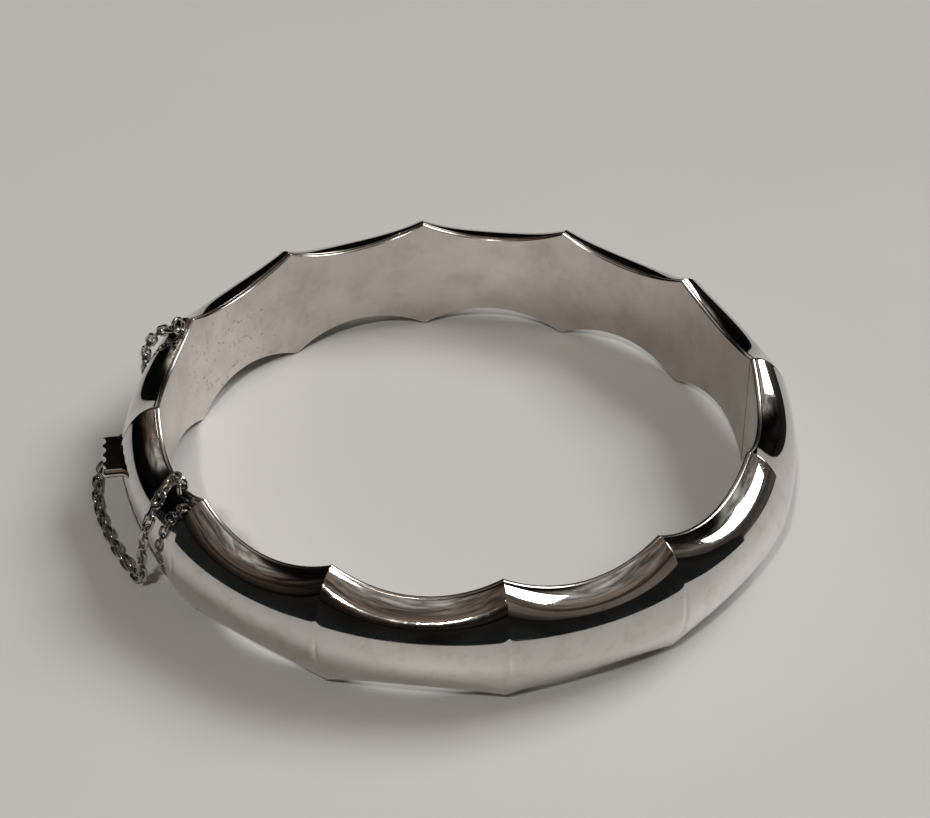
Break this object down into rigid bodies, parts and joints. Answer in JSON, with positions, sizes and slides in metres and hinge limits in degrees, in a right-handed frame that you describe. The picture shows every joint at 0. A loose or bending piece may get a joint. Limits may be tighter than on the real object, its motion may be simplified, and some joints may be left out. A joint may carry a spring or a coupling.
{
  "type": "bangle bracelet",
  "caption": "Hollow hinged bangle with scalloped bays, a tongue clasp with a thumb tab, and a fine safety chain between its two halves",
  "frame": {"origin": "the wrist opening's axis, on the surface that the bangle lies on", "axes": "+Z is the bangle's axis, pointing up; +X points from the clasp to the hinge; the front half is on -Y"},
  "size_m": [0.0701, 0.0668, 0.014],
  "materials": {
    "polished_silver": "mirror polish with fine wear scratches",
    "satin_silver": "satin, slightly tarnished",
    "spring_silver": "rolled sheet",
    "chain_silver": "polished wire"
  },
  "bodies": {
    "back_half": {"back_outer_shell": "polished_silver", "back_inner_lining": "satin_silver", "back_clasp_end_plate": "polished_silver", "back_hinge_end_plate": "polished_silver", "back_hinge_knuckle_upper": "polished_silver", "back_hinge_knuckle_lower": "polished_silver", "hinge_pin": "spring_silver", "tongue_base_leaf": "spring_silver", "back_chain_eye": "chain_silver", "back_jump_ring": "chain_silver", "chain_run_24": "chain_silver"},
    "front_half": {"front_outer_shell": "polished_silver", "front_inner_lining": "satin_silver", "front_clasp_end_plate": "polished_silver", "front_hinge_end_plate": "polished_silver", "front_hinge_knuckle": "polished_silver", "clasp_box": "polished_silver", "front_chain_eye": "chain_silver", "front_jump_ring": "chain_silver", "chain_run_01": "chain_silver"},
    "clasp_spring": {"tongue_spring_leaf": "spring_silver", "thumb_tab": "polished_silver", "catch_bar": "spring_silver"},
    "chain_front_1": {"chain_run_02": "chain_silver", "chain_run_03": "chain_silver"},
    "chain_front_2": {"chain_run_04": "chain_silver", "chain_run_05": "chain_silver", "chain_run_06": "chain_silver"},
    "chain_front_3": {"chain_run_07": "chain_silver", "chain_run_08": "chain_silver", "chain_run_09": "chain_silver", "chain_run_10": "chain_silver", "chain_run_11": "chain_silver"},
    "chain_front_4": {"chain_run_12": "chain_silver", "chain_run_13": "chain_silver"},
    "chain_back_1": {"chain_run_22": "chain_silver", "chain_run_23": "chain_silver"},
    "chain_back_2": {"chain_run_19": "chain_silver", "chain_run_20": "chain_silver", "chain_run_21": "chain_silver"},
    "chain_back_3": {"chain_run_16": "chain_silver", "chain_run_17": "chain_silver", "chain_run_18": "chain_silver"},
    "chain_back_4": {"chain_run_14": "chain_silver", "chain_run_15": "chain_silver"}
  },
  "joints": [
    {"name": "bangle_hinge", "type": "hinge", "parent": "back_half", "child": "front_half", "pos_m": [0.0323, 0, 0.00643], "axis": [0, 0, 1], "range_deg": [0, 16]},
    {"name": "thumb_tab_press", "type": "hinge", "parent": "back_half", "child": "clasp_spring", "pos_m": [-0.03066, -0.0052, 0.00643], "axis": [0, 0, -1], "range_deg": [0, 3], "stiffness_Nm_per_rad": 0.02},
    {"name": "chain_front_1_bend", "type": "hinge", "parent": "front_half", "child": "chain_front_1", "pos_m": [-0.02933, -0.0127, 0.01222], "axis": [0.2851, 0.5742, -0.7675], "range_deg": [0, 86.08]},
    {"name": "chain_front_2_bend", "type": "hinge", "parent": "chain_front_1", "child": "chain_front_2", "pos_m": [-0.03119, -0.01372, 0.00832], "axis": [-0.8713, 0.3951, -0.2911], "range_deg": [0, 9.42]},
    {"name": "chain_front_3_bend", "type": "hinge", "parent": "chain_front_2", "child": "chain_front_3", "pos_m": [-0.03191, -0.01162, 0.00159], "axis": [-0.6503, -0.5807, 0.4899], "range_deg": [0, 50.81]},
    {"name": "chain_front_4_bend", "type": "hinge", "parent": "chain_front_3", "child": "chain_front_4", "pos_m": [-0.0358, -0.00066, 0.00065], "axis": [0.0587, -0.8003, 0.5967], "range_deg": [0, 29.17]},
    {"name": "chain_back_1_bend", "type": "hinge", "parent": "back_half", "child": "chain_back_1", "pos_m": [-0.02882, 0.01395, 0.012], "axis": [-0.3188, 0.4887, 0.8121], "range_deg": [0, 81]},
    {"name": "chain_back_2_bend", "type": "hinge", "parent": "chain_back_1", "child": "chain_back_2", "pos_m": [-0.03045, 0.0154, 0.00807], "axis": [0.8246, 0.4521, 0.3401], "range_deg": [0, 24.57]},
    {"name": "chain_back_3_bend", "type": "hinge", "parent": "chain_back_2", "child": "chain_back_3", "pos_m": [-0.03141, 0.01472, 0.00121], "axis": [0.4716, -0.803, -0.3644], "range_deg": [0, 51.64]},
    {"name": "chain_back_4_bend", "type": "hinge", "parent": "chain_back_3", "child": "chain_back_4", "pos_m": [-0.03486, 0.00863, 0.00065], "axis": [-0.6403, -0.7648, 0.0719], "range_deg": [0, 26.44]}
  ],
  "couplings": [
    {"joint": "chain_front_1_bend", "follows": "bangle_hinge", "ratio": 5.38},
    {"joint": "chain_front_2_bend", "follows": "bangle_hinge", "ratio": 0.58873},
    {"joint": "chain_front_3_bend", "follows": "bangle_hinge", "ratio": 3.1757},
    {"joint": "chain_front_4_bend", "follows": "bangle_hinge", "ratio": 1.8229},
    {"joint": "chain_back_1_bend", "follows": "bangle_hinge", "ratio": 5.0623},
    {"joint": "chain_back_2_bend", "follows": "bangle_hinge", "ratio": 1.5356},
    {"joint": "chain_back_3_bend", "follows": "bangle_hinge", "ratio": 3.2275},
    {"joint": "chain_back_4_bend", "follows": "bangle_hinge", "ratio": 1.6526}
  ]
}
